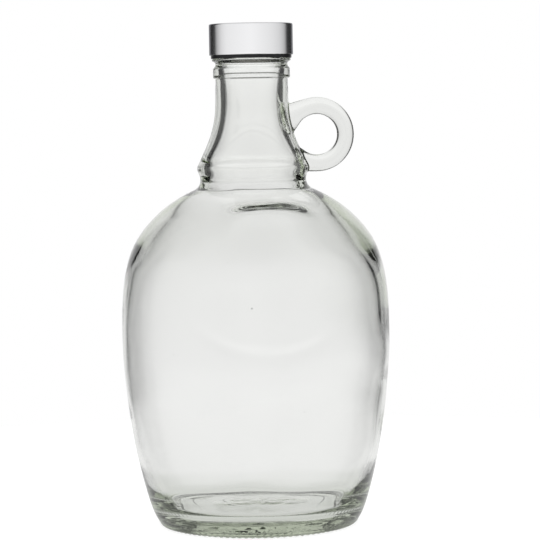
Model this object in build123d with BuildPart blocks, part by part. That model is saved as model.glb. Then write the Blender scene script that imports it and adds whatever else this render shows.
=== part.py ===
"""Glass growler of about 1.5 litres: a blown glass bottle with a finger loop beside its
neck, closed by a screw cap made of an aluminium cover, a threaded plastic insert and a
foam sealing disc.

Millimetres. +Z is up, the bottle's axis is Z, z = 0 is the plane it stands on, and the
finger loop points along +X.
"""

from build123d import *
import math
import os

os.makedirs("parts", exist_ok=True)

# ---------------------------------------------------------------- driving dimensions
BODY_R = 65.0           # largest radius of the belly
BODY_R_Z = 94.0         # height of the largest radius
WAIST_Z = 168.75        # narrowest place under the neck's ring
LIP_Z = 240.4           # top of the glass lip, where the sealing disc sits
BORE_R = 14.6           # mouth radius at the lip
FINISH_R = 17.5         # root radius of the thread on the glass
THREAD_CREST_R = 18.6   # crest radius of the thread on the glass
THREAD_PITCH = 4.2333   # six threads per inch
THREAD_TURNS = 1.35     # length of the glass thread
THREAD_Z = 230.2        # height of the glass thread's centre where it starts
BEAD_R = 19.1           # bead just under the cap
COLLAR_R = 18.6         # transfer collar under the bead
COLLAR_Z0, COLLAR_Z1 = 216.8, 222.2

LOOP_X, LOOP_Z = 31.1, 189.1    # centre of the finger loop's eye
LOOP_EYE_R = 9.75               # radius of the eye
LOOP_OUT_R = 18.0               # outer radius of the loop
LOOP_THICK = 8.0                # thickness of the loop across Y
LOOP_EDGE = 2.6                 # rounding of the loop's edges
LOOP_ARM_ANGLE = 105.0          # where the upper arm leaves the ring, degrees from +X
EYE_TOP_ANGLE = 150.0           # where the eye's circle runs out into the neck, above
EYE_LOW_ANGLE = -125.0          # and below
LOOP_SEAM = 0.03                # seam between the loop's ends and the neck

CAP_R = 20.25           # outer radius of the aluminium cover
CAP_TOP_Z = 242.9
CAP_SKIRT_Z = 227.9     # lower edge of the aluminium cover
SHELL_T = 0.35          # thickness of the cover's skirt
SHELL_TOP_T = 0.4
INSERT_LIP_Z = 226.2    # lower edge of the plastic insert, which shows under the cover
INSERT_LIP_R = 19.5
INSERT_IN_R = 18.75     # inner wall of the insert, at the root of its thread
CAP_THREAD_R = 17.8     # crest radius of the insert's thread
CAP_THREAD_DROP = 1.45  # how far the insert's thread runs below the glass thread
LINER_R, LINER_T = 18.4, 1.0

# Outer profile of the body from the heel to the foot of the neck, as (radius, height).
OUTER_BODY = [
    (50.35, 5.0), (53.1, 12.0), (56.9, 26.0), (59.3, 37.0), (61.2, 48.0), (62.9, 61.0),
    (64.15, 74.0), (64.85, 85.0), (BODY_R, BODY_R_Z), (64.9, 103.0), (64.35, 112.5),
    (63.15, 121.5), (61.05, 130.0), (57.4, 138.5), (52.1, 146.0), (45.0, 153.0),
    (37.2, 158.5), (30.2, 162.3),
]
# Neck, from the top of the ring at its foot to just under the collar.
OUTER_NECK = [
    (26.92, 174.74), (24.75, 178.6), (21.85, 184.9), (19.75, 190.7), (18.35, 196.5),
    (17.65, 203.0), (17.45, 209.5), (17.45, 215.6),
]
# Inner wall, from the bore of the mouth down to the floor's corner.
INNER = [
    (BORE_R, 225.0), (13.9, 214.0), (13.8, 205.0), (14.6, 198.0), (16.6, 190.0),
    (19.5, 182.5), (22.3, 176.5), (23.3, 171.5), (23.5, 166.5), (27.2, 160.8),
    (34.2, 156.2), (41.6, 150.3), (48.4, 143.3), (54.0, 135.6), (58.2, 127.0),
    (60.7, 117.5), (61.8, 106.0), (62.0, 94.0), (61.75, 83.0), (61.0, 72.0),
    (59.7, 60.0), (57.9, 48.0), (55.9, 37.0), (53.3, 26.0), (50.8, 17.5), (49.0, 12.6),
]


def outer_edges(top_z, grow=0.0):
    """Draws the outside of the glass, bearing ring to finish, inside an open BuildLine; grow widens it."""

    def out(*points):
        return [(x + grow, z) for x, z in points]

    # heel: a small rounding at the bearing ring, then a nearly straight bevel
    ThreePointArc(*out((46.8, 0), (47.62, 0.27), (48.1, 1.0)))
    Line(*out((48.1, 1.0), (50.35, 5.0)))
    Spline(*out(*OUTER_BODY), tangents=[(0.5, 1.0), (-0.896, 0.444)])
    # waist under the ring, then the ring itself
    TangentArc(*out((30.2, 162.3), (26.2, WAIST_Z)), tangent=(-0.896, 0.444))
    TangentArc(*out((26.2, WAIST_Z), (26.9, 171.3)), tangent=(0, 1))
    ThreePointArc(*out((26.9, 171.3), (27.38, 173.04), (26.92, 174.74)))
    Spline(*out(*OUTER_NECK), tangents=[(-0.5, 0.866), (0, 1.0)])
    # collar, groove and bead
    Polyline(*out(
        (17.45, 215.6), (17.45, 216.4), (COLLAR_R, COLLAR_Z0), (COLLAR_R, 221.3),
        (17.85, COLLAR_Z1), (FINISH_R, 222.7), (FINISH_R, 224.3), (BEAD_R, 225.3),
        (BEAD_R, 225.8), (18.2, 226.2), (FINISH_R, 226.35), (FINISH_R, top_z),
    ))


# ---------------------------------------------------------------- thread ridges
def ridge(root_r, crest_r, root_half, crest_half, start_z, turns):
    """A helical ridge of trapezoid section, from a little below its root surface to its crest."""
    helix = Helix(pitch=THREAD_PITCH, height=THREAD_PITCH * turns, radius=(root_r + crest_r) / 2,
                  center=(0, 0, start_z))
    start = helix @ 0
    with BuildPart() as one:
        with BuildSketch(Plane(origin=(0, 0, start.Z), x_dir=(1, 0, 0), z_dir=(0, -1, 0))) as section:
            with BuildLine():
                Polyline(
                    (root_r, -root_half), (crest_r, -crest_half),
                    (crest_r, crest_half), (root_r, root_half), close=True,
                )
            make_face()
        sweep(path=helix, is_frenet=True)
    return one.part


EPS = 0.25  # the ridges start this far inside the wall that they stand on
glass_ridge = ridge(FINISH_R - EPS, THREAD_CREST_R, 1.1 + 0.545 * EPS, 0.5, THREAD_Z, THREAD_TURNS)
cap_ridge = ridge(INSERT_IN_R + EPS, CAP_THREAD_R, 0.9 + 0.526 * EPS, 0.4,
                  THREAD_Z - CAP_THREAD_DROP, THREAD_TURNS)

# ---------------------------------------------------------------- glass bottle
with BuildPart() as glass_bottle:
    with BuildSketch(Plane.XZ) as half_section:
        with BuildLine():
            outer_edges(LIP_Z - 1.1)
            # lip: rounded outside and inside
            ThreePointArc((FINISH_R, LIP_Z - 1.1), (FINISH_R - 0.322, LIP_Z - 0.322), (FINISH_R - 1.1, LIP_Z))
            Line((FINISH_R - 1.1, LIP_Z), (BORE_R + 0.8, LIP_Z))
            ThreePointArc((BORE_R + 0.8, LIP_Z), (BORE_R + 0.234, LIP_Z - 0.234), (BORE_R, LIP_Z - 0.8))
            Line((BORE_R, LIP_Z - 0.8), (BORE_R, 225.0))
            Spline(*INNER, tangents=[(0, -1), (-0.4, -1)])
            # rounded corner, then a floor that rises gently to the middle
            Spline((49.0, 12.6), (46.6, 9.2), (42.6, 7.4), tangents=[(-0.4, -1), (-1, -0.22)])
            Spline((42.6, 7.4), (24.0, 7.6), (0, 9.4), tangents=[(-1, -0.22), (-1, 0)])
            Line((0, 9.4), (0, 3.6))
            # underside: concave push-up with two shallow steps, then the flat bearing ring
            Polyline((0, 3.6), (17.0, 3.35), (17.5, 3.0), (33.0, 2.3), (33.5, 1.95), (41.6, 1.2), (43.2, 0), (46.8, 0))
        make_face()
    revolve(axis=Axis.Z)
    add(glass_ridge)

# The glass is one piece on the real bottle. It is divided at the waist under the ring into a
# body and a neck, so that both stay simple hollow shapes; the two meet face to face.
with BuildPart() as bottle_body:
    add(glass_bottle.part)
    split(bisect_by=Plane.XY.offset(WAIST_Z), keep=Keep.BOTTOM)

with BuildPart() as bottle_neck:
    add(glass_bottle.part)
    split(bisect_by=Plane.XY.offset(WAIST_Z), keep=Keep.TOP)

# the bottle's outer form, filled solid and a hair larger, to trim the loop to the neck
with BuildPart() as neck_form:
    with BuildSketch(Plane.XZ):
        with BuildLine():
            outer_edges(LIP_Z, grow=LOOP_SEAM)
            Polyline((FINISH_R + LOOP_SEAM, LIP_Z), (0, LIP_Z), (0, 0), (46.8 + LOOP_SEAM, 0))
        make_face()
    revolve(axis=Axis.Z)

# ---------------------------------------------------------------- finger loop


def on_ring(radius, degrees):
    """A point on a circle about the eye's centre, measured from +X."""
    angle = math.radians(degrees)
    return (LOOP_X + radius * math.cos(angle), LOOP_Z + radius * math.sin(angle))


def leave(point, degrees, length):
    """The point that length further on in the given direction."""
    angle = math.radians(degrees)
    return (point[0] + length * math.cos(angle), point[1] + length * math.sin(angle))


with BuildPart() as finger_loop:
    with BuildSketch(Plane.XZ):
        with BuildLine():
            # outside: straight lower arm, round nose, upper arm sloping down into the neck
            out_low, out_top = on_ring(LOOP_OUT_R, -90), on_ring(LOOP_OUT_R, LOOP_ARM_ANGLE)
            out_end = leave(out_top, LOOP_ARM_ANGLE + 90, 13.0)
            Line((17.0, out_low[1]), out_low)
            ThreePointArc(out_low, on_ring(LOOP_OUT_R, 7.5), out_top)
            Line(out_top, out_end)
            # eye: most of a circle, leaving it on tangents that run into the neck
            eye_top, eye_low = on_ring(LOOP_EYE_R, EYE_TOP_ANGLE), on_ring(LOOP_EYE_R, EYE_LOW_ANGLE)
            top_end, low_end = leave(eye_top, EYE_TOP_ANGLE + 90, 6.0), leave(eye_low, EYE_LOW_ANGLE - 90, 5.0)
            Line(out_end, top_end)
            Line(top_end, eye_top)
            ThreePointArc(eye_top, on_ring(LOOP_EYE_R, 12.5), eye_low)
            Line(eye_low, low_end)
            Line(low_end, (17.0, out_low[1]))
        make_face()
    extrude(amount=LOOP_THICK / 2, both=True)
    # the long edges are rounded; the ends stay square, because the neck swallows them
    rims = finger_loop.faces().filter_by(Axis.Y).edges().filter_by(lambda e: e.center().X > 19.5)
    fillet(rims, LOOP_EDGE)
    add(neck_form.part, mode=Mode.SUBTRACT)

# ---------------------------------------------------------------- cap: aluminium cover
with BuildPart() as cap_shell:
    with BuildSketch(Plane.XZ):
        with BuildLine():
            r, t = CAP_R, SHELL_T
            Line((0, CAP_TOP_Z), (r - 0.7, CAP_TOP_Z))
            ThreePointArc((r - 0.7, CAP_TOP_Z), (r - 0.205, CAP_TOP_Z - 0.205), (r, CAP_TOP_Z - 0.7))
            Line((r, CAP_TOP_Z - 0.7), (r, CAP_SKIRT_Z + 0.15))
            Line((r, CAP_SKIRT_Z + 0.15), (r - 0.12, CAP_SKIRT_Z))
            Line((r - 0.12, CAP_SKIRT_Z), (r - t, CAP_SKIRT_Z))
            Line((r - t, CAP_SKIRT_Z), (r - t, CAP_TOP_Z - SHELL_TOP_T))
            Line((r - t, CAP_TOP_Z - SHELL_TOP_T), (0, CAP_TOP_Z - SHELL_TOP_T))
            Line((0, CAP_TOP_Z - SHELL_TOP_T), (0, CAP_TOP_Z))
        make_face()
    revolve(axis=Axis.Z)

# ---------------------------------------------------------------- cap: threaded plastic insert
LINER_TOP = LIP_Z + LINER_T
INSERT_R = CAP_R - SHELL_T
INSERT_TOP = CAP_TOP_Z - SHELL_TOP_T
with BuildPart() as cap_insert:
    with BuildSketch(Plane.XZ):
        with BuildLine():
            Polyline(
                (0, INSERT_TOP), (INSERT_R, INSERT_TOP), (INSERT_R, CAP_SKIRT_Z), (INSERT_LIP_R, CAP_SKIRT_Z - 0.05),
                (INSERT_LIP_R, INSERT_LIP_Z + 0.2), (INSERT_LIP_R - 0.2, INSERT_LIP_Z), (INSERT_IN_R + 0.25, INSERT_LIP_Z),
                (INSERT_IN_R, INSERT_LIP_Z + 0.4), (INSERT_IN_R, LIP_Z - 1.2),
                # snap bead that keeps the sealing disc in place
                (18.2, LIP_Z - 0.7), (18.2, LIP_Z - 0.3), (INSERT_IN_R, LIP_Z - 0.05),
                (INSERT_IN_R, LINER_TOP), (0, LINER_TOP), close=True,
            )
        make_face()
    revolve(axis=Axis.Z)
    add(cap_ridge)

# ---------------------------------------------------------------- cap: sealing disc
with BuildPart() as cap_liner:
    with BuildSketch(Plane.XY.offset(LIP_Z)):
        Circle(LINER_R)
    extrude(amount=LINER_T)
    chamfer(cap_liner.edges().filter_by(GeomType.CIRCLE), 0.12)

# ---------------------------------------------------------------- labels and files
bottle_body.part.label = "bottle_body"
bottle_neck.part.label = "bottle_neck"
finger_loop.part.label = "finger_loop"
cap_shell.part.label = "cap_shell"
cap_insert.part.label = "cap_insert"
cap_liner.part.label = "cap_liner"

export_step(bottle_body.part, "parts/bottle_body.step")
export_step(bottle_neck.part, "parts/bottle_neck.step")
export_step(finger_loop.part, "parts/finger_loop.step")
export_step(cap_shell.part, "parts/cap_shell.step")
export_step(cap_insert.part, "parts/cap_insert.step")
export_step(cap_liner.part, "parts/cap_liner.step")
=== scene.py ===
"""Looks for the growler: one piece of clear glass (bottle and finger loop) and a screw cap with a
satin metal cover, a black plastic insert and a pale sealing disc."""

import math

import bpy
import bmesh
import numpy as np
from mathutils import Matrix, Vector


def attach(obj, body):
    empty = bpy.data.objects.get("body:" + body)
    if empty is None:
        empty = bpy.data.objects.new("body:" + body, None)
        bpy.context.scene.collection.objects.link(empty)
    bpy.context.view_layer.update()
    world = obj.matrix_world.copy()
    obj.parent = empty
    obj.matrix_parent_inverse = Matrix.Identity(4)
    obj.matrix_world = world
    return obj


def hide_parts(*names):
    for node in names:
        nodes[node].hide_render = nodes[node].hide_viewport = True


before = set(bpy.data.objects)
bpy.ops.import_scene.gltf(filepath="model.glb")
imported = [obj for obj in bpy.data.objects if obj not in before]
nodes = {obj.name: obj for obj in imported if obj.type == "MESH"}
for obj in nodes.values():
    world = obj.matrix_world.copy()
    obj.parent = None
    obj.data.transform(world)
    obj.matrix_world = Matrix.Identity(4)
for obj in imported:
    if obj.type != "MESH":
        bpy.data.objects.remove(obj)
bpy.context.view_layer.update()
MM = 0.001

# ------------------------------------------------------------------ curves of the glass, in mm
BODY = [
    (50.35, 5.0), (53.1, 12.0), (56.9, 26.0), (59.3, 37.0), (61.2, 48.0), (62.9, 61.0),
    (64.15, 74.0), (64.85, 85.0), (65.0, 94.0), (64.9, 103.0), (64.35, 112.5),
    (63.15, 121.5), (61.05, 130.0), (57.4, 138.5), (52.1, 146.0), (45.0, 153.0),
    (37.2, 158.5), (30.2, 162.3),
]
NECK = [
    (26.3, 175.3), (24.75, 178.6), (21.85, 184.9), (19.75, 190.7), (18.35, 196.5),
    (17.65, 203.0), (17.45, 209.5), (17.45, 215.2),
]
INNER = [
    (14.6, 225.0), (14.0, 219.5), (13.2, 214.0), (12.8, 208.5), (12.8, 203.5), (13.4, 198.0), (15.3, 190.0),
    (18.2, 182.5), (20.6, 176.5), (21.3, 171.5), (21.9, 167.3), (23.0, 164.6), (25.0, 162.6), (28.0, 160.9),
    (33.4, 157.0),
    (41.0, 150.8), (47.9, 144.0), (53.4, 136.6), (57.6, 128.2), (60.1, 118.5),
    (61.4, 107.0), (61.8, 94.0), (61.7, 83.0), (61.0, 72.0),
    (59.7, 60.0), (57.9, 48.0), (55.9, 37.0), (53.3, 26.0), (51.0, 18.6), (48.4, 13.4),
]
# the same at the front, where the gather of glass made a flat shelf under the shoulder
SHELF = INNER[:13] + [
    (28.5, 159.4), (33.5, 155.4), (40.1, 153.3),
    (46.8, 146.6), (54.3, 136.4), (57.6, 129.8),
] + INNER[19:]
# how much thicker than that the blown wall is on the loop's side and on the other side: (height, mm)
SIDE_LOOP = [
    (4, 0.3), (10, 0.4), (16, 0.7), (20, 0.45), (26, 0.0), (32, -0.3), (37, -0.2), (48, 0), (60, 0.1), (70, 0.0), (75, -0.5),
    (80, -0.8), (86, -0.8), (91, -0.6), (96, 0.1), (101, 0.8), (106, 1.3), (113, 1.5), (126, 1.5), (133, 1.7),
    (138, 2.2), (142, 2.7), (148, 3.0), (152, 2.6), (156, 1.2), (160, 0.3), (166, 0), (240, 0),
]
SIDE_FAR = [
    (4, 0), (23, -0.3), (30, -0.8), (40, -1.0), (60, -1.0), (80, -0.9), (100, -0.8), (112, -0.5), (120, -0.2), (127, 0.2),
    (133, 0.7), (137, 1.1), (141, 1.4), (145, 1.7), (149, 1.8), (153, 1.6), (156, 0.8), (160, 0.3), (166, 0), (240, 0),
]
THREAD_Z, PITCH, TURNS = 230.2, 4.2333, 1.35
LIP_Z = 240.4
SEGMENTS = 384


def spline(points, start, end, step):
    """A clamped cubic through the points, sampled about every step mm."""
    p = np.array(points, float)
    s = np.concatenate([[0], np.cumsum(np.linalg.norm(np.diff(p, axis=0), axis=1))])
    h = np.diff(s)
    n = len(p)
    ends = [np.array(v, float) / np.linalg.norm(v) for v in (start, end)]
    a, b = np.zeros((n, n)), np.zeros((n, 2))
    a[0, 0], b[0] = 1, ends[0]
    a[-1, -1], b[-1] = 1, ends[1]
    for i in range(1, n - 1):
        a[i, i - 1], a[i, i], a[i, i + 1] = h[i], 2 * (h[i - 1] + h[i]), h[i - 1]
        b[i] = 3 * (h[i] * (p[i] - p[i - 1]) / h[i - 1] + h[i - 1] * (p[i + 1] - p[i]) / h[i])
    m = np.linalg.solve(a, b)
    out = []
    for i in range(n - 1):
        k = max(2, int(round(h[i] / step)))
        t = np.linspace(0, 1, k, endpoint=False)[:, None]
        out.append(
            (2 * t**3 - 3 * t**2 + 1) * p[i] + (t**3 - 2 * t**2 + t) * h[i] * m[i]
            + (3 * t**2 - 2 * t**3) * p[i + 1] + (t**3 - t**2) * h[i] * m[i + 1]
        )
    return np.vstack(out + [p[-1:]])


def arc(a, b, c, step):
    """A circular arc from a through b to c."""
    (ax, ay), (bx, by), (cx, cy) = a, b, c
    d = 2 * (ax * (by - cy) + bx * (cy - ay) + cx * (ay - by))
    ux = ((ax**2 + ay**2) * (by - cy) + (bx**2 + by**2) * (cy - ay) + (cx**2 + cy**2) * (ay - by)) / d
    uy = ((ax**2 + ay**2) * (cx - bx) + (bx**2 + by**2) * (ax - cx) + (cx**2 + cy**2) * (bx - ax)) / d
    t0, t1, t2 = (math.atan2(y - uy, x - ux) for x, y in (a, b, c))
    turn = (t2 - t0) % (2 * math.pi)
    if (t1 - t0) % (2 * math.pi) > turn:
        turn -= 2 * math.pi
    r = math.hypot(ax - ux, ay - uy)
    k = max(3, int(round(abs(turn) * r / step)))
    t = t0 + np.linspace(0, turn, k + 1)
    return np.stack([ux + r * np.cos(t), uy + r * np.sin(t)], 1)


def rounded(points, radii, step):
    """A polyline with each inner corner rounded."""
    p = [np.array(q, float) for q in points]
    out = [p[0]]
    for i in range(1, len(p) - 1):
        u, v = p[i - 1] - p[i], p[i + 1] - p[i]
        lu, lv = np.linalg.norm(u), np.linalg.norm(v)
        u, v = u / lu, v / lv
        half = math.acos(np.clip(u @ v, -1, 1)) / 2
        cut = min(radii[i - 1] / math.tan(half), 0.49 * lu, 0.49 * lv)
        r = cut * math.tan(half)
        centre = p[i] + (u + v) / np.linalg.norm(u + v) * (r / math.sin(half))
        mid = centre + (p[i] - centre) / np.linalg.norm(p[i] - centre) * r
        out.extend(arc(p[i] + u * cut, mid, p[i] + v * cut, min(step, r * 0.35)))
    out.append(p[-1])
    full = [out[0]]
    for q in out[1:]:
        gap = np.linalg.norm(q - full[-1])
        if gap < 1e-6:
            continue
        k = int(math.ceil(gap / step))
        base = full[-1]
        full.extend(base + (q - base) * j / k for j in range(1, k + 1))
    return np.array(full)


def joined(*pieces):
    out = [pieces[0]]
    for p in pieces[1:]:
        out.append(p[1:] if np.linalg.norm(p[0] - out[-1][-1]) < 1e-3 else p)
    return np.vstack(out)


outside = joined(
    rounded([(0, 3.6), (17.0, 3.35), (17.6, 2.95), (33.0, 2.3), (33.6, 1.9), (41.4, 1.25), (43.3, 0.0), (46.6, 0.0),
             (48.1, 1.0), (50.35, 5.0)], [0.6, 0.5, 0.6, 0.5, 1.5, 1.0, 1.3, 2.5], 0.55)[:-1],
    spline(BODY, (0.5, 1.0), (-0.896, 0.444), 1.4),
    spline([(30.2, 162.3), (28.3, 163.1), (26.8, 164.3), (25.8, 165.9), (25.5, 167.6), (25.85, 169.6), (26.5, 171.4),
            (26.95, 173.1), (26.85, 174.2), (26.3, 175.3)], (-0.896, 0.444), (-0.5, 0.866), 0.4),
    spline(NECK, (-0.5, 0.866), (0, 1), 0.6),
    rounded([(17.45, 215.2), (17.5, 216.5), (18.6, 216.85), (18.6, 221.3), (17.9, 222.2), (17.5, 222.9), (17.5, 224.1),
             (19.1, 225.2), (19.1, 225.8), (18.2, 226.2), (17.5, 226.6), (17.5, 238.2)],
            [0.35, 0.35, 0.5, 0.5, 0.5, 0.6, 0.4, 0.25, 0.3, 0.3, 0.3], 0.22),
    rounded([(17.5, 238.2), (17.5, 240.4), (14.6, 240.4), (14.6, 225.0)], [1.1, 0.8], 0.3),
)
n_out = len(outside)


def sections(points):
    """The inner wall's curve in three sections of fixed lengths, so that two such curves can be blended."""
    curve = spline(points, (0, -1), (-0.5, -1), 0.4)
    out = []
    cuts = [0, int(np.argmin(abs(curve[:, 1] - 176.5))), int(np.argmin(abs(curve[:, 1] - 107.0))), len(curve) - 1]
    for lo, hi, count in zip(cuts[:-1], cuts[1:], (58, 92, 92)):
        part = curve[lo : hi + 1]
        along = np.concatenate([[0], np.cumsum(np.linalg.norm(np.diff(part, axis=0), axis=1))])
        t = np.linspace(0, along[-1], count + 1)[(1 if out else 0) :]
        out.append(np.stack([np.interp(t, along, part[:, 0]), np.interp(t, along, part[:, 1])], 1))
    return np.vstack(out)


bottom = joined(
    spline([(48.4, 13.4), (44.8, 9.5), (38.6, 7.7)], (-0.5, -1), (-1, -0.12), 0.5),
    spline([(38.6, 7.7), (22.0, 7.8), (0, 9.4)], (-1, -0.12), (-1, 0), 0.9),
)
inside, shelf = joined(sections(INNER), bottom), joined(sections(SHELF), bottom)
print("profile rows", n_out, len(inside))

# ------------------------------------------------------------------ the lathe, with its unevenness
SEAM = [0.16, 0.34, 0.55]  # degrees either side of the mould's seam, where the mesh is finer
phi = set(np.linspace(0, 360, SEGMENTS, endpoint=False))
for seam_at in (0, 180):
    for off in SEAM:
        phi |= {(seam_at + off) % 360, (seam_at - off) % 360}
phi = np.radians(np.array(sorted(phi)))
SEGMENTS = len(phi)


def smooth(x, lo, hi):
    t = np.clip((x - lo) / (hi - lo), 0, 1)
    return t * t * (3 - 2 * t)


def bump(x, centre, width):
    return np.exp(-(((x - centre) / width) ** 2))


def turned(a, centre_deg, width_deg):
    """1 at an azimuth, fading to 0 about width away from it."""
    d = (a - math.radians(centre_deg) + math.pi) % (2 * math.pi) - math.pi
    return np.exp(-((d / math.radians(width_deg)) ** 2))


rng = np.random.default_rng(7)
WAVES = [
    (rng.integers(1, 9), rng.uniform(0.02, 0.22), rng.uniform(0, 6.28), rng.uniform(0, 6.28), rng.uniform(0.4, 1.0))
    for _ in range(18)
]


def waviness(a, z):
    """Smooth unevenness of a blown surface, about -1 to 1."""
    total = 0
    for k, q, p1, p2, w in WAVES:
        total = total + w * np.sin(k * a + p1 + 0.6 * np.sin(0.03 * z + p2)) * np.sin(q * z + p2)
    return total / 4.2


HEIGHTS = np.arange(-20.0, 260.0, 0.5)


def side_table(points):
    """A side's extra thickness over the height, with its corners smoothed."""
    flat = np.interp(HEIGHTS, *zip(*points))
    kernel = np.exp(-0.5 * (np.arange(-12, 13) * 0.5 / 2.4) ** 2)
    return np.convolve(np.pad(flat, 12, mode="edge"), kernel / kernel.sum(), "valid")


LOOP_TABLE, FAR_TABLE = side_table(SIDE_LOOP), side_table(SIDE_FAR)


def wall_extra(a, z):
    """How much thicker than its plain profile the wall is, in mm: blown glass is never even."""
    e = turned(a, 0, 48) * np.interp(z, HEIGHTS, LOOP_TABLE) + turned(a, 180, 52) * np.interp(z, HEIGHTS, FAR_TABLE)
    # a shallow fold across the front of the belly, sagging in the middle
    off = np.degrees((a - math.radians(-83) + math.pi) % (2 * math.pi) - math.pi)
    fold = np.exp(-(((z - 87.5 - 9.0 * (off / 28) ** 2) / 3.0) ** 2) - (off / 30) ** 4)
    return e + 0.30 * fold + 0.16 * waviness(a, z) * smooth(z, 10, 30) * (1 - smooth(z, 196, 214))


A, _ = np.meshgrid(phi, np.arange(n_out))
R = np.repeat(outside[:, :1], SEGMENTS, 1)
Z = np.repeat(outside[:, 1:], SEGMENTS, 1)
index = np.arange(n_out)[:, None]

# outer skin: a hair of unevenness, always inwards, and the mould's seam in the plane of the loop
skin = (R > 47) & (Z > 6) & (Z < 168)
R = R - np.where(skin, 0.09 * (1 + waviness(A * 1.0 + 2.1, Z * 0.8)) * smooth(Z, 6, 20) * (1 - smooth(Z, 155, 168)), 0)
off_seam = np.degrees(np.abs((A + math.pi / 2) % math.pi - math.pi / 2))
seam = np.clip(1 - off_seam / 0.34, 0, 1) * smooth(Z, 2, 6) * (1 - smooth(Z, 211, 215)) * (index < n_out - 60)
R = R + 0.10 * seam * (R > 17.2)
R = np.minimum(R, 64.98)

# thread on the mouth
zone = (Z > 227.0) & (Z < 239.0) & (R > 17.0)
ridge = np.zeros_like(R)
for lap in range(0, 3):
    along = A + 2 * math.pi * lap
    ends = smooth(along, 0.02, 0.22) * (1 - smooth(along, 2 * math.pi * TURNS - 0.22, 2 * math.pi * TURNS - 0.02))
    off = np.abs(Z - (THREAD_Z + PITCH * along / (2 * math.pi)))
    ridge = np.maximum(ridge, 1.08 * (1 - smooth(off, 0.42, 1.1)) * ends)
R = R + np.where(zone, ridge, 0)

# stippled bearing ring: short radial bars with hollows between them
bars = 0.5 - 0.5 * np.cos(96 * A)
ring_zone = smooth(R, 43.2, 44.0) * (1 - smooth(R, 46.9, 47.9)) * (Z < 1.5)
Z = Z + ring_zone * bars * 0.34
# second, finer ring of dots on the heel
heel_zone = bump(R, 48.9, 0.55) * (Z > 1.2) * (Z < 6)
R = R - heel_zone * 0.16 * (0.5 - 0.5 * np.cos(96 * A + 1.2))

# generic relief on the underside: rows of dots and short bars
X0, Y0 = R * np.cos(A), R * np.sin(A)
relief = np.zeros_like(R)
MARKS = [(-10.5, 9.0, 1.1, 1.1), (-5.0, 11.0, 2.6, 0.9), (1.5, 10.0, 1.0, 1.0), (6.0, 12.0, 2.2, 0.9), (11.5, 9.6, 1.1, 1.1),
         (-9.0, 4.0, 2.4, 0.9), (-3.0, 5.4, 1.1, 1.1), (2.4, 3.6, 1.9, 1.0), (8.0, 5.2, 2.8, 0.9),
         (-7.0, -2.2, 1.2, 1.2), (-1.5, -3.6, 3.1, 0.9), (5.0, -2.0, 1.1, 1.1), (9.5, -4.2, 2.0, 0.9),
         (-3.5, -9.0, 2.2, 0.9), (2.2, -10.0, 1.1, 1.1), (6.6, -9.2, 1.8, 0.9)]
for mx, my, sx, sy in MARKS:
    d = ((X0 - mx) / sx) ** 4 + ((Y0 - my) / sy) ** 4
    relief = np.maximum(relief, 1 - smooth(d, 0.2, 1.6))
under = (index < 90) & (R < 30)
Z = Z - np.where(under, 0.55 * relief, 0)

A2, _ = np.meshgrid(phi, np.arange(len(inside)))
R2 = np.repeat(inside[:, :1], SEGMENTS, 1)
Z2 = np.repeat(inside[:, 1:], SEGMENTS, 1)
off_front = (A2 - math.radians(-79) + math.pi) % (2 * math.pi) - math.pi
front = np.exp(-((off_front / math.radians(29)) ** 4))
R2 = R2 + front * (shelf[:, :1] - R2)
Z2 = Z2 + front * (shelf[:, 1:] - Z2 - 2.0 * (off_front / math.radians(28)) ** 2 * bump(Z2, 153, 9))
extra = wall_extra(A2, Z2)
R2 = R2 - extra * np.where((Z2 < 13), smooth(R2, 30, 49), 1)
# the floor is settled glass: gently lumpy
floor = (Z2 < 12) * (1 - smooth(R2, 40, 49))
Z2 = Z2 + floor * 0.35 * (waviness(A2 * 1.0, R2 * 2.2) * smooth(R2, 2, 12)
                          + 0.8 * bump(R2 * np.cos(A2), -14, 12) * bump(R2 * np.sin(A2), -8, 10))


def grid_mesh(name, rings, first_pole, last_pole):
    """A closed skin over rings of equal count, with a pole at each end."""
    count = rings[0].shape[0]
    verts = np.vstack([first_pole[None], *rings, last_pole[None]])
    faces = []
    for j in range(count):
        k = (j + 1) % count
        faces.append((0, 1 + k, 1 + j))
    for i in range(len(rings) - 1):
        a, b = 1 + i * count, 1 + (i + 1) * count
        for j in range(count):
            k = (j + 1) % count
            faces.append((a + j, a + k, b + k, b + j))
    last = len(verts) - 1
    a = 1 + (len(rings) - 1) * count
    for j in range(count):
        faces.append((a + j, a + (j + 1) % count, last))
    mesh = bpy.data.meshes.new(name)
    mesh.from_pydata((verts * MM).tolist(), [], faces)
    mesh.update()
    obj = bpy.data.objects.new(name, mesh)
    bpy.context.scene.collection.objects.link(obj)
    return obj


def ring_points(r, z, a):
    return np.stack([r * np.cos(a), r * np.sin(a), z], 1)


rings = [ring_points(R[i], Z[i], A[i]) for i in range(1, n_out)]
rings += [ring_points(R2[i], Z2[i], A2[i]) for i in range(1, len(inside) - 1)]
glass = grid_mesh("clear_glass", rings, np.array([0, 0, float(Z[0].mean())]), np.array([0, 0, float(Z2[-1].mean())]))

# ------------------------------------------------------------------ finger loop
LX, LZ, EYE, OUT = 31.1, 189.1, 9.75, 18.0


def polar(r, deg):
    return np.array([LX + r * math.cos(math.radians(deg)), LZ + r * math.sin(math.radians(deg))])


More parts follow.
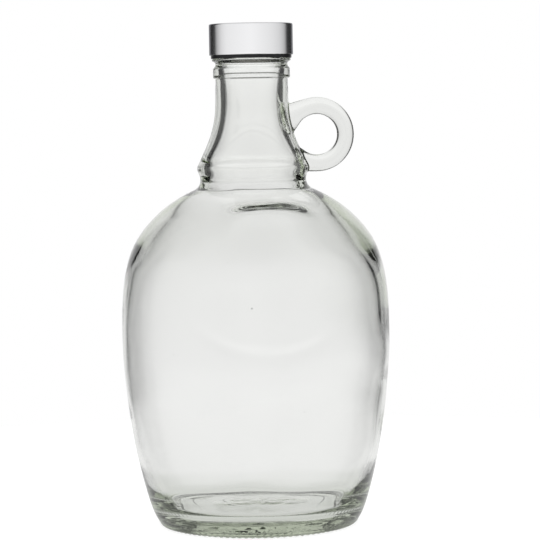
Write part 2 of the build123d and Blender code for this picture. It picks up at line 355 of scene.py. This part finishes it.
eye_top, eye_low = polar(EYE, 150), polar(EYE, -125)
out_top, out_low = polar(OUT, 105), polar(OUT, -90)
stations = []
for t in np.linspace(0, 1, 9, endpoint=False):
    stations.append((np.array([18.9, 188.9]) * (1 - t) + eye_top * t, np.array([16.3, 203.8]) * (1 - t) + out_top * t))
for t in np.linspace(0, 1, 90):
    stations.append((polar(EYE, 150 - 275 * t), polar(OUT, 105 - 195 * t)))
for t in np.linspace(0, 1, 9)[1:]:
    stations.append((eye_low * (1 - t) + np.array([21.4, 184.1]) * t, out_low * (1 - t) + np.array([25.2, 171.1]) * t))
SECTION = 48
loop_rings = []
for p_in, p_out in stations:
    e = p_out - p_in
    half = np.linalg.norm(e) / 2
    e = e / (2 * half)
    mid = (p_in + p_out) / 2
    pts = []
    for k in range(SECTION):
        t = 2 * math.pi * k / SECTION
        c, s = math.cos(t), math.sin(t)
        u = math.copysign(abs(c) ** (2 / 2.9), c) * half
        v = math.copysign(abs(s) ** (2 / 2.9), s) * 4.0
        pts.append((mid[0] + e[0] * u, v, mid[1] + e[1] * u))
    loop_rings.append(np.array(pts))
first = loop_rings[0].mean(0)
last = loop_rings[-1].mean(0)
loop = grid_mesh("loop_tool", loop_rings, first, last)

for o in (glass, loop):
    bm = bmesh.new()
    bm.from_mesh(o.data)
    bmesh.ops.recalc_face_normals(bm, faces=bm.faces)
    bm.to_mesh(o.data)
    bm.free()

mod = glass.modifiers.new("join", "BOOLEAN")
mod.operation, mod.solver, mod.object = "UNION", "EXACT", loop
deps = bpy.context.evaluated_depsgraph_get()
whole = bpy.data.meshes.new_from_object(glass.evaluated_get(deps))
glass.modifiers.clear()
glass.data = whole
whole.name = "clear_glass"
bpy.data.objects.remove(loop)

# soften the crease where the loop meets the neck
bm = bmesh.new()
bm.from_mesh(whole)
bmesh.ops.remove_doubles(bm, verts=bm.verts, dist=1.5e-6)
bmesh.ops.dissolve_degenerate(bm, dist=1.0e-6, edges=bm.edges)
# slivers that the join leaves loose are dropped
bm.verts.ensure_lookup_table()
bm.verts.index_update()
seen = set()
for v in bm.verts:
    v.tag = False
for v in bm.verts:
    if v.index in seen:
        continue
    island, queue = [], [v]
    seen.add(v.index)
    while queue:
        w = queue.pop()
        island.append(w)
        for e in w.link_edges:
            o = e.other_vert(w)
            if o.index not in seen:
                seen.add(o.index)
                queue.append(o)
    if len(island) < 200:
        for w in island:
            w.tag = True
bmesh.ops.delete(bm, geom=[v for v in bm.verts if v.tag], context="VERTS")
# a fin is a face on an edge that two others already share
for _ in range(4):
    fins = {f for e in bm.edges if len(e.link_faces) > 2 for f in e.link_faces if any(len(k.link_faces) == 1 for k in f.edges)}
    if not fins:
        break
    bmesh.ops.delete(bm, geom=list(fins), context="FACES")
holes = [e for e in bm.edges if len(e.link_faces) == 1]
if holes:
    bmesh.ops.holes_fill(bm, edges=holes, sides=12)
print("open edges", sum(len(e.link_faces) != 2 for e in bm.edges))
bm.verts.ensure_lookup_table()
near = [v for v in bm.verts if 0.014 < v.co.x < 0.032 and abs(v.co.y) < 0.0075 and 0.166 < v.co.z < 0.209]
crease = set()
for v in near:
    for e in v.link_edges:
        if len(e.link_faces) == 2 and e.calc_face_angle(0) > math.radians(24):
            crease.add(v)
            break
crease = [v for v in crease if math.hypot(v.co.x, v.co.y) > 0.0168]
print("crease", len(crease))
tree_pts = np.array([v.co[:] for v in crease]) if crease else np.zeros((0, 3))
soft = []
for v in near:
    if len(tree_pts) and math.hypot(v.co.x, v.co.y) > 0.0168:
        if np.min(np.linalg.norm(tree_pts - np.array(v.co[:]), axis=1)) < 0.0011:
            soft.append(v)
for _ in range(10):
    bmesh.ops.smooth_vert(bm, verts=soft, factor=0.5, use_axis_x=True, use_axis_y=True, use_axis_z=True)
# tiny seeds, trapped in the wall
for sx, sz, sr in ((-1.3, 109.9, 0.34), (-38.0, 88.0, 0.2), (22.0, 61.0, 0.22), (-12.0, 131.0, 0.18), (34.0, 118.0, 0.2)):
    r_here = float(np.interp(sz, [q[1] for q in BODY], [q[0] for q in BODY])) - 1.4
    y = -math.sqrt(max(r_here**2 - sx**2, 1))
    made = bmesh.ops.create_icosphere(bm, subdivisions=2, radius=sr * MM, matrix=Matrix.Translation((sx * MM, y * MM, sz * MM)))
    faces = {f for v in made["verts"] for f in v.link_faces}
    bmesh.ops.reverse_faces(bm, faces=list(faces))
bm.to_mesh(whole)
bm.free()
whole.shade_smooth()

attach(glass, "bottle")
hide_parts("bottle_body", "bottle_neck", "finger_loop")


# ------------------------------------------------------------------ materials
def new_material(name):
    m = bpy.data.materials.new(name)
    m.use_nodes = True
    t = m.node_tree
    t.nodes.clear()
    out = t.nodes.new("ShaderNodeOutputMaterial")
    p = t.nodes.new("ShaderNodeBsdfPrincipled")
    t.links.new(p.outputs[0], out.inputs[0])
    return m, t, p, out


def noise(t, scale, detail=4.0, rough=0.5, coords=None):
    n = t.nodes.new("ShaderNodeTexNoise")
    n.inputs["Scale"].default_value = scale
    n.inputs["Detail"].default_value = detail
    n.inputs["Roughness"].default_value = rough
    if coords is not None:
        t.links.new(coords, n.inputs["Vector"])
    return n


def object_coords(t, scale=(1, 1, 1)):
    c = t.nodes.new("ShaderNodeTexCoord")
    m = t.nodes.new("ShaderNodeMapping")
    m.inputs["Scale"].default_value = scale
    t.links.new(c.outputs["Object"], m.inputs["Vector"])
    return m.outputs[0]


def ramp(t, source, stops):
    r = t.nodes.new("ShaderNodeValToRGB")
    r.color_ramp.elements[0].position, r.color_ramp.elements[0].color = stops[0][0], (*stops[0][1], 1)
    r.color_ramp.elements[1].position, r.color_ramp.elements[1].color = stops[-1][0], (*stops[-1][1], 1)
    for pos, col in stops[1:-1]:
        e = r.color_ramp.elements.new(pos)
        e.color = (*col, 1)
    t.links.new(source, r.inputs[0])
    return r


def bump_node(t, height, strength, distance, p):
    b = t.nodes.new("ShaderNodeBump")
    b.inputs["Strength"].default_value = strength
    b.inputs["Distance"].default_value = distance
    t.links.new(height, b.inputs["Height"])
    t.links.new(b.outputs[0], p.inputs["Normal"])
    return b


g, t, p, out = new_material("bottle_glass_look")
p.inputs["Base Color"].default_value = (1.0, 1.0, 1.0, 1)
p.inputs["Transmission Weight"].default_value = 1.0
p.inputs["IOR"].default_value = 1.52
n = noise(t, 90.0, 2.0, 0.5, object_coords(t))
r = ramp(t, n.outputs["Fac"], [(0.35, (0.0, 0.0, 0.0)), (0.75, (0.02, 0.02, 0.02))])
t.links.new(r.outputs[0], p.inputs["Roughness"])
n2 = noise(t, 55.0, 2.0, 0.45, object_coords(t, (1, 1, 0.45)))
bump_node(t, n2.outputs["Fac"], 0.10, 0.0006, p)
vol = t.nodes.new("ShaderNodeVolumeAbsorption")
vol.inputs["Color"].default_value = (0.417, 0.50, 0.29, 1)
vol.inputs["Density"].default_value = 12.0
t.links.new(vol.outputs[0], out.inputs["Volume"])
whole.materials.clear()
whole.materials.append(g)

m, t, p, out = new_material("cap_metal_look")
p.inputs["Metallic"].default_value = 1.0
p.inputs["Base Color"].default_value = (0.83, 0.83, 0.84, 1)
p.inputs["Specular Tint"].default_value = (0.30, 0.30, 0.32, 1)
c = object_coords(t)
n = noise(t, 900.0, 3.0, 0.6, object_coords(t, (1, 1, 0.04)))
r = ramp(t, n.outputs["Fac"], [(0.3, (0.17, 0.17, 0.17)), (0.7, (0.22, 0.22, 0.22))])
t.links.new(r.outputs[0], p.inputs["Roughness"])
n2 = noise(t, 1400.0, 2.0, 0.5, c)
bump_node(t, n2.outputs["Fac"], 0.08, 0.0001, p)
cap_metal = m

m, t, p, out = new_material("cap_plastic_look")
p.inputs["Roughness"].default_value = 0.34
p.inputs["Specular IOR Level"].default_value = 0.22
c = object_coords(t)
n = noise(t, 420.0, 4.0, 0.6, c)
r = ramp(t, n.outputs["Fac"], [(0.3, (0.005, 0.005, 0.006)), (0.7, (0.011, 0.011, 0.012))])
t.links.new(r.outputs[0], p.inputs["Base Color"])
bump_node(t, noise(t, 1600.0, 2.0, 0.5, c).outputs["Fac"], 0.15, 0.0001, p)
cap_plastic = m

m, t, p, out = new_material("liner_foam_look")
p.inputs["Roughness"].default_value = 0.8
c = object_coords(t)
n = noise(t, 700.0, 5.0, 0.65, c)
r = ramp(t, n.outputs["Fac"], [(0.3, (0.66, 0.65, 0.60)), (0.7, (0.82, 0.81, 0.77))])
t.links.new(r.outputs[0], p.inputs["Base Color"])
bump_node(t, noise(t, 2600.0, 3.0, 0.6, c).outputs["Fac"], 0.3, 0.00012, p)
liner_foam = m

for name, mat in (("cap_shell", cap_metal), ("cap_insert", cap_plastic), ("cap_liner", liner_foam)):
    o = nodes[name]
    o.data.materials.clear()
    o.data.materials.append(mat)

# ------------------------------------------------------------------ studio: pale floor with a painted shadow under the bottle that only the glass sees, light all round
mesh = bpy.data.meshes.new("floor")
FLOOR_R, FLOOR_N = 0.42, 96
pts = [(0, 0, 0)] + [(FLOOR_R * math.cos(2 * math.pi * i / FLOOR_N), FLOOR_R * math.sin(2 * math.pi * i / FLOOR_N), 0) for i in range(FLOOR_N)]
mesh.from_pydata(pts, [], [(0, 1 + i, 1 + (i + 1) % FLOOR_N) for i in range(FLOOR_N)])
floor_obj = bpy.data.objects.new("floor", mesh)
bpy.context.scene.collection.objects.link(floor_obj)
floor_obj.location.z = -0.0004
fm = bpy.data.materials.new("floor_look")
fm.use_nodes = True
t = fm.node_tree
t.nodes.clear()
out = t.nodes.new("ShaderNodeOutputMaterial")
add = t.nodes.new("ShaderNodeAddShader")
d = t.nodes.new("ShaderNodeBsdfDiffuse")
d.inputs["Color"].default_value = (0.42, 0.42, 0.42, 1)
e = t.nodes.new("ShaderNodeEmission")
e.inputs["Color"].default_value = (1, 1, 1, 1)
e.inputs["Strength"].default_value = 0.84
t.links.new(d.outputs[0], add.inputs[0])
t.links.new(e.outputs[0], add.inputs[1])
soft = t.nodes.new("ShaderNodeEmission")
where = t.nodes.new("ShaderNodeTexCoord")
far = t.nodes.new("ShaderNodeVectorMath")
far.operation = "LENGTH"
t.links.new(where.outputs["Object"], far.inputs[0])
# painted shadow: the glow that the glass sees of the floor is darker towards the centre, 0.60 under the bottle rising
# to 0.87 by 12 cm out, in place of the bottle's contact shadow
painted_floor_shadow = ramp(t, far.outputs["Value"], [(0.025, (0.60, 0.61, 0.59)), (0.055, (0.72, 0.73, 0.71)), (0.12, (0.87, 0.87, 0.87))])
t.links.new(painted_floor_shadow.outputs[0], soft.inputs["Color"])
rim = ramp(t, far.outputs["Value"], [(0.16, (0, 0, 0)), (0.41, (1, 1, 1))])
clear = t.nodes.new("ShaderNodeBsdfTransparent")
fade = t.nodes.new("ShaderNodeMixShader")
t.links.new(rim.outputs[0], fade.inputs[0])
t.links.new(soft.outputs[0], fade.inputs[1])
t.links.new(clear.outputs[0], fade.inputs[2])
# the camera sees the evenly lit floor; every other ray sees the glow with the painted shadow, fading to clear at the
# rim
path = t.nodes.new("ShaderNodeLightPath")
pick = t.nodes.new("ShaderNodeMixShader")
t.links.new(path.outputs["Is Camera Ray"], pick.inputs[0])
t.links.new(fade.outputs[0], pick.inputs[1])
t.links.new(add.outputs[0], pick.inputs[2])
t.links.new(pick.outputs[0], out.inputs[0])
mesh.materials.append(fm)

world = bpy.data.worlds.new("studio")
bpy.context.scene.world = world
world.use_nodes = True
t = world.node_tree
t.nodes.clear()
out = t.nodes.new("ShaderNodeOutputWorld")
bg = t.nodes.new("ShaderNodeBackground")
coord = t.nodes.new("ShaderNodeTexCoord")
sep = t.nodes.new("ShaderNodeSeparateXYZ")
t.links.new(coord.outputs["Generated"], sep.inputs[0])


def op(kind, a, b=None):
    n = t.nodes.new("ShaderNodeMath")
    n.operation = kind
    for i, v in enumerate((a, b)):
        if v is None:
            continue
        if isinstance(v, (int, float)):
            n.inputs[i].default_value = v
        else:
            t.links.new(v, n.inputs[i])
    return n.outputs[0]


def grey_ramp(source, stops):
    return ramp(t, source, [(p, (v, v, v)) for p, v in stops]).outputs[0]


# the azimuth of a direction, 0.5 behind the object, more towards +X, 0 and 1 at the front
az = op("ADD", op("MULTIPLY", op("ARCTAN2", sep.outputs["X"], sep.outputs["Y"]), 0.5 / math.pi), 0.5)
el = op("ADD", op("MULTIPLY", op("ARCSINE", sep.outputs["Z"]), 1 / math.pi), 0.5)  # 0 below, 1 above
LOOP_SIDE = [(0, 0.80), (3.5, 0.82), (15, 0.78), (24, 0.72), (29, 0.55), (33, 0.04), (62, 0.03), (65, 0.09), (68, 0.30), (74, 0.52), (82, 0.65), (95, 0.78), (120, 0.90), (180, 1.06)]
FAR_SIDE = [(3.5, 0.82), (15, 0.79), (24, 0.74), (29, 0.60), (34, 0.04), (61, 0.03), (64, 0.10), (68, 0.33), (75, 0.54), (84, 0.70), (92, 0.83), (110, 0.96), (180, 1.06)]
side = grey_ramp(az, [(0.5 - d / 360, v) for d, v in reversed(FAR_SIDE)] + [(0.5 + d / 360, v) for d, v in LOOP_SIDE])
high = grey_ramp(el, [(0, 1.12), ((90 - 10) / 180, 1.12), ((90 - 5) / 180, 1.03), (0.5, 1.0), ((90 + 36) / 180, 1.0), ((90 + 44) / 180, 0.10),
                      ((90 + 78) / 180, 0.08), (1, 0.30)])
# the dark ceiling is only behind the object, and only seen through glass: metal and gloss see a bright one
path = t.nodes.new("ShaderNodeLightPath")
behind = grey_ramp(az, [(0.5 - 105 / 360, 0), (0.5 - 80 / 360, 1), (0.5 + 80 / 360, 1), (0.5 + 105 / 360, 0)])
gate = op("MULTIPLY", behind, path.outputs["Is Transmission Ray"])
above = grey_ramp(el, [((90 + 30) / 180, 0), ((90 + 46) / 180, 1)])
lit = grey_ramp(el, [(0, 1.12), ((90 - 10) / 180, 1.12), ((90 - 5) / 180, 1.03), (0.5, 1.0), (1, 0.95)])
open_side = op("ADD", op("MULTIPLY", side, op("SUBTRACT", 1.0, above)), op("MULTIPLY", 0.80, above))
both = op("ADD", op("MULTIPLY", op("MULTIPLY", side, high), gate),
          op("MULTIPLY", op("MULTIPLY", open_side, lit), op("SUBTRACT", 1.0, gate)))
mix = t.nodes.new("ShaderNodeMix")
mix.data_type = "FLOAT"
t.links.new(path.outputs["Is Camera Ray"], mix.inputs[0])
t.links.new(both, mix.inputs[2])
mix.inputs[3].default_value = 1.0
t.links.new(mix.outputs[0], bg.inputs["Strength"])
bg.inputs["Color"].default_value = (1, 1, 1, 1)
t.links.new(bg.outputs[0], out.inputs[0])

sc = bpy.context.scene
sc.view_settings.view_transform = "Standard"
sc.cycles.max_bounces = 24
sc.cycles.transmission_bounces = 24
sc.cycles.glossy_bounces = 12
sc.cycles.transparent_max_bounces = 24
sc.cycles.use_denoising = True

# ------------------------------------------------------------------ camera
cam_data = bpy.data.cameras.new("camera")
cam_data.lens, cam_data.sensor_width = 165.0, 36.0
cam = bpy.data.objects.new("camera", cam_data)
sc.collection.objects.link(cam)
pitch, roll = math.radians(3.69), math.radians(0.97)
cam.matrix_world = (
    Matrix.Translation((0.00736, -1.201, 0.201))
    @ Matrix.Rotation(math.radians(90) - pitch, 4, "X")
    @ Matrix.Rotation(-roll, 4, "Z")
)
sc.camera = cam
